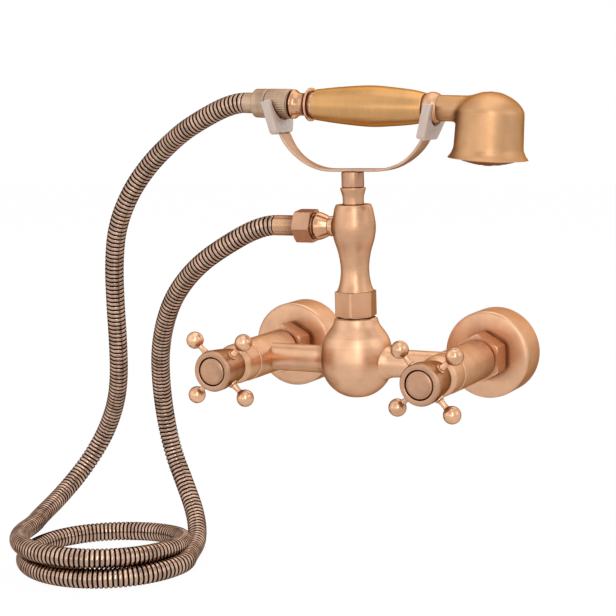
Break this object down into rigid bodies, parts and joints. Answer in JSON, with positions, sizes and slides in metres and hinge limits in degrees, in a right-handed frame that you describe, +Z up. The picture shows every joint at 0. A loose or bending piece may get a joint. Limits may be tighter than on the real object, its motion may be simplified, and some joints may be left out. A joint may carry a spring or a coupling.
{
  "type": "bath mixer",
  "caption": "Wall-mounted bath mixer: round body with cross handles, turned column with a forked cradle, bell-shaped hand shower on a ribbed metal hose that lies in a loop.",
  "frame": {"origin": "point of the wall midway between the two inlets, on their common centre line", "axes": "+X along the wall to the right, +Y into the wall, +Z up"},
  "size_m": [0.3989, 0.1935, 0.3411],
  "materials": {
    "satin_copper": "brushed satin copper plating on brass",
    "antique_copper": "brushed copper plating, darker in the edges",
    "copper_hose": "wound metal hose, antique copper plating",
    "golden_copper": "golden satin copper",
    "raw_brass": "turned brass",
    "stainless_steel": "turned stainless steel",
    "white_ceramic": "lapped alumina ceramic",
    "black_rubber": "moulded rubber",
    "milky_plastic": "milky translucent moulded plastic"
  },
  "bodies": {
    "mixer": {"mixer_body": "satin_copper", "column": "satin_copper", "cradle_post": "satin_copper", "cradle_yoke": "satin_copper", "outlet_adapter": "satin_copper", "column_collar": "satin_copper", "wall_flange_left": "satin_copper", "wall_flange_right": "satin_copper", "bonnet_sleeve_left": "satin_copper", "bonnet_sleeve_right": "satin_copper", "hose_nut": "antique_copper", "cradle_screw": "antique_copper", "union_nut_left": "antique_copper", "union_nut_right": "antique_copper", "hose_upper": "copper_hose", "hose_coil": "copper_hose", "hose_lower": "copper_hose", "hose_ferrule_lower": "copper_hose", "wall_union_left": "raw_brass", "wall_union_right": "raw_brass", "cartridge_housing_left": "raw_brass", "cartridge_housing_right": "raw_brass", "fixed_disc_left": "white_ceramic", "fixed_disc_right": "white_ceramic", "column_washer": "black_rubber", "column_seal": "black_rubber", "outlet_washer": "black_rubber", "inlet_washer_left": "black_rubber", "inlet_washer_right": "black_rubber", "seat_seal_left": "black_rubber", "seat_seal_right": "black_rubber", "fork_sleeve_left": "milky_plastic", "fork_sleeve_right": "milky_plastic"},
    "handle_left": {"handle_hub_left": "antique_copper", "handle_spokes_left": "antique_copper", "spindle_left": "raw_brass", "moving_disc_left": "white_ceramic", "handle_screw_left": "stainless_steel", "index_cap_left": "satin_copper"},
    "handle_right": {"handle_hub_right": "antique_copper", "handle_spokes_right": "antique_copper", "spindle_right": "raw_brass", "moving_disc_right": "white_ceramic", "handle_screw_right": "stainless_steel", "index_cap_right": "satin_copper"},
    "handset": {"hose_ferrule_upper": "copper_hose", "connector_nut": "antique_copper", "handset_washer": "black_rubber", "handset_tail": "satin_copper", "handset_tube": "raw_brass", "handset_grip": "golden_copper", "handset_collar": "satin_copper", "handset_head": "satin_copper", "spray_plate": "antique_copper", "spray_seal": "black_rubber", "spray_screw": "antique_copper"}
  },
  "joints": [
    {"name": "left_handle_turn", "type": "hinge", "parent": "mixer", "child": "handle_left", "pos_m": [-0.075, -0.1298, 0], "axis": [0, -1, 0], "range_deg": [0, 90]},
    {"name": "right_handle_turn", "type": "hinge", "parent": "mixer", "child": "handle_right", "pos_m": [0.075, -0.1298, 0], "axis": [0, 1, 0], "range_deg": [0, 90]},
    {"name": "handset_lift", "type": "slide", "parent": "mixer", "child": "handset", "axis": [0.0424, 0, 0.9991], "range_m": [0, 0.05]}
  ]
}
